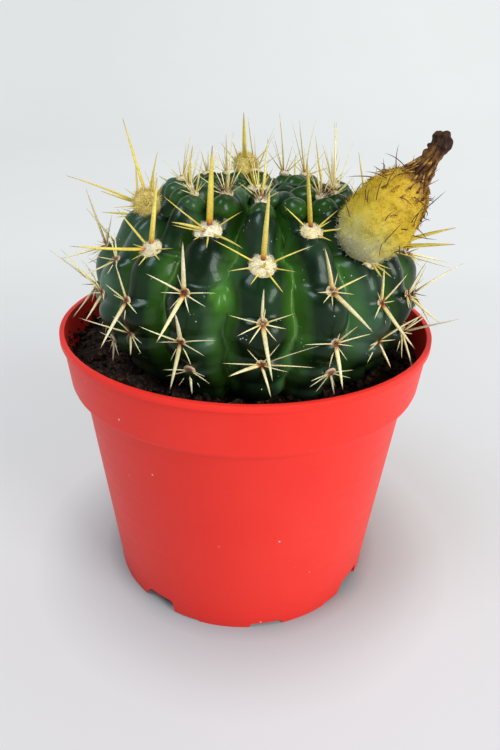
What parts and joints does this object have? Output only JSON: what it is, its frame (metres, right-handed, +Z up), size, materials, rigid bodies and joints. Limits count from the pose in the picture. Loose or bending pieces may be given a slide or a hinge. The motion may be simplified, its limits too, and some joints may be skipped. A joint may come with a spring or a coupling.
{
  "type": "potted round cactus",
  "caption": "Round ribbed cactus with clusters of spines and one woolly fruit, growing in a tapered plastic nursery pot.",
  "frame": {"origin": "centre of the pot's underside, on the surface that it stands on", "axes": "+Z up along the pot's axis, -Y towards the front, +X towards the fruit's side"},
  "size_m": [0.1164, 0.1172, 0.1389],
  "materials": {
    "pot_plastic": "moulded red polypropylene with a satin face",
    "peat": "dark damp peat with small bits",
    "stem_skin": "waxy dark green plant skin with paler furrows",
    "spine": "hard straw-coloured spines with cream wool at their foot",
    "fruit_skin": "yellow fruit under fine wool",
    "dried_flower": "shrivelled dry brown petals"
  },
  "bodies": {
    "root": {"cactus_stem": "stem_skin", "crown_wool": "spine", "dried_flower": "dried_flower", "fruit": "fruit_skin", "pot": "pot_plastic", "soil": "peat", "spines_rib01_row1": "spine", "spines_rib01_row2": "spine", "spines_rib01_row3": "spine", "spines_rib02_row1": "spine", "spines_rib02_row2": "spine", "spines_rib02_row3": "spine", "spines_rib03_row1": "spine", "spines_rib03_row2": "spine", "spines_rib03_row3": "spine", "spines_rib04_row1": "spine", "spines_rib04_row2": "spine", "spines_rib04_row3": "spine", "spines_rib05_row1": "spine", "spines_rib05_row2": "spine", "spines_rib05_row3": "spine", "spines_rib06_row1": "spine", "spines_rib06_row2": "spine", "spines_rib06_row3": "spine", "spines_rib07_row1": "spine", "spines_rib07_row2": "spine", "spines_rib07_row3": "spine", "spines_rib08_row1": "spine", "spines_rib08_row2": "spine", "spines_rib08_row3": "spine", "spines_rib09_row2": "spine", "spines_rib09_row3": "spine", "spines_rib10_row1": "spine", "spines_rib10_row2": "spine", "spines_rib10_row3": "spine", "spines_rib11_row1": "spine", "spines_rib11_row2": "spine", "spines_rib11_row3": "spine", "spines_rib12_row1": "spine", "spines_rib12_row2": "spine", "spines_rib12_row3": "spine", "spines_rib13_row1": "spine", "spines_rib13_row2": "spine", "spines_rib13_row3": "spine", "spines_rib14_row2": "spine", "spines_rib14_row3": "spine", "spines_rib15_row1": "spine", "spines_rib15_row2": "spine", "spines_rib15_row3": "spine", "spines_rib16_row1": "spine", "spines_rib16_row2": "spine", "spines_rib16_row3": "spine", "woolly_bud_rib09": "spine", "woolly_bud_rib14": "spine"}
  },
  "joints": []
}
